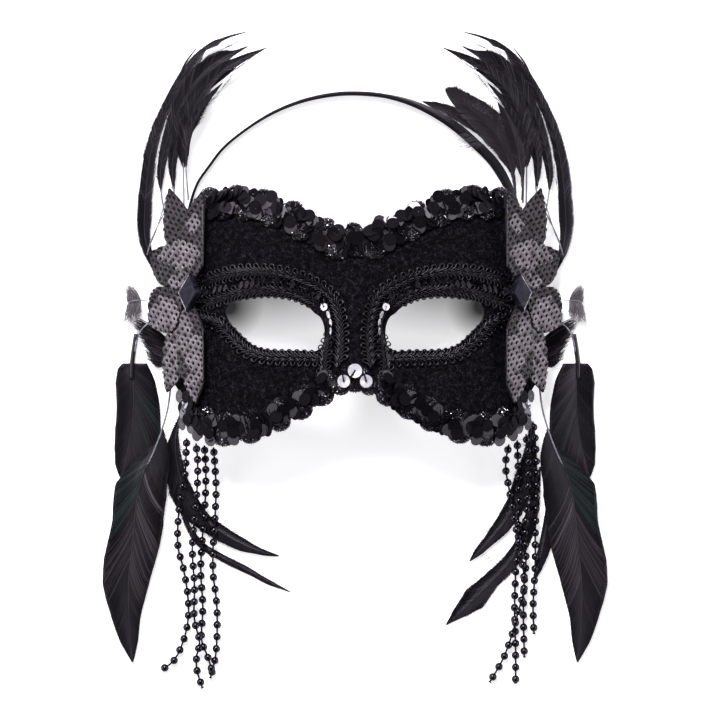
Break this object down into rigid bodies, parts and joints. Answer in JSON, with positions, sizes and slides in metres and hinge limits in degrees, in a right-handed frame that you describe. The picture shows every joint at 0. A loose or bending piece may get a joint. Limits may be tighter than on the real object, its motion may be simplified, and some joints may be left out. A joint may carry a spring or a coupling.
{
  "type": "feather masquerade mask",
  "caption": "Black velvet half mask with sequin trims, braided eye holes, sequin-cloth flowers, feather fans, hanging bead strands and a thin headband, lying on its back.",
  "frame": {"origin": "on the table below the middle of the mask's outline, found without the loose bead strands", "axes": "+Z the way the face looks, straight up from the table; +Y the wearer's up; +X the viewer's right"},
  "size_m": [0.2442, 0.3191, 0.0658],
  "materials": {
    "velvet": "black velvet with a short nap",
    "trim_sequins": "glossy black cup sequins on beaded crochet",
    "gimp_braid": "black looped gimp braid",
    "clear_sequin": "mirror-bright sequin",
    "sequin_cloth": "mauve-grey sequin cloth, each sequin with a dark centre",
    "gem": "faceted black resin",
    "satin": "black satin",
    "feather": "black feather with a faint green and blue sheen",
    "down": "soft grey down",
    "bead": "glossy black"
  },
  "bodies": {
    "root": {"mask_shell": "velvet", "sequin_trim_top": "trim_sequins", "sequin_trim_bottom": "trim_sequins", "outer_braid_left": "gimp_braid", "inner_braid_upper_left": "gimp_braid", "inner_braid_lower_left": "gimp_braid", "petal_1_left": "sequin_cloth", "petal_2_left": "sequin_cloth", "petal_3_left": "sequin_cloth", "petal_4_left": "sequin_cloth", "petal_5_left": "sequin_cloth", "petal_6_left": "sequin_cloth", "jewel_left": "gem", "upper_feather_1_left": "feather", "upper_feather_2_left": "feather", "upper_feather_3_left": "feather", "upper_feather_4_left": "feather", "upper_feather_5_left": "feather", "long_feather_1_left": "feather", "long_feather_2_left": "feather", "downy_tuft_left": "down", "bead_strand_1_left": "bead", "bead_strand_2_left": "bead", "bead_strand_3_left": "bead", "bead_strand_4_left": "bead", "outer_braid_right": "gimp_braid", "inner_braid_upper_right": "gimp_braid", "inner_braid_lower_right": "gimp_braid", "petal_1_right": "sequin_cloth", "petal_2_right": "sequin_cloth", "petal_3_right": "sequin_cloth", "petal_4_right": "sequin_cloth", "petal_5_right": "sequin_cloth", "petal_6_right": "sequin_cloth", "jewel_right": "gem", "upper_feather_1_right": "feather", "upper_feather_2_right": "feather", "upper_feather_3_right": "feather", "upper_feather_4_right": "feather", "upper_feather_5_right": "feather", "long_feather_1_right": "feather", "long_feather_2_right": "feather", "downy_tuft_right": "down", "bead_strand_1_right": "bead", "bead_strand_2_right": "bead", "bead_strand_3_right": "bead", "bead_strand_4_right": "bead", "nose_sequin_middle": "clear_sequin", "nose_sequin_left": "clear_sequin", "nose_sequin_right": "clear_sequin", "headband": "satin", "inner_feather_1_left": "feather", "inner_feather_2_left": "feather", "inner_feather_1_right": "feather", "inner_feather_2_right": "feather", "inner_feather_3_right": "feather", "band_feather_1": "feather", "band_feather_2": "feather", "band_feather_3": "feather"}
  },
  "joints": []
}
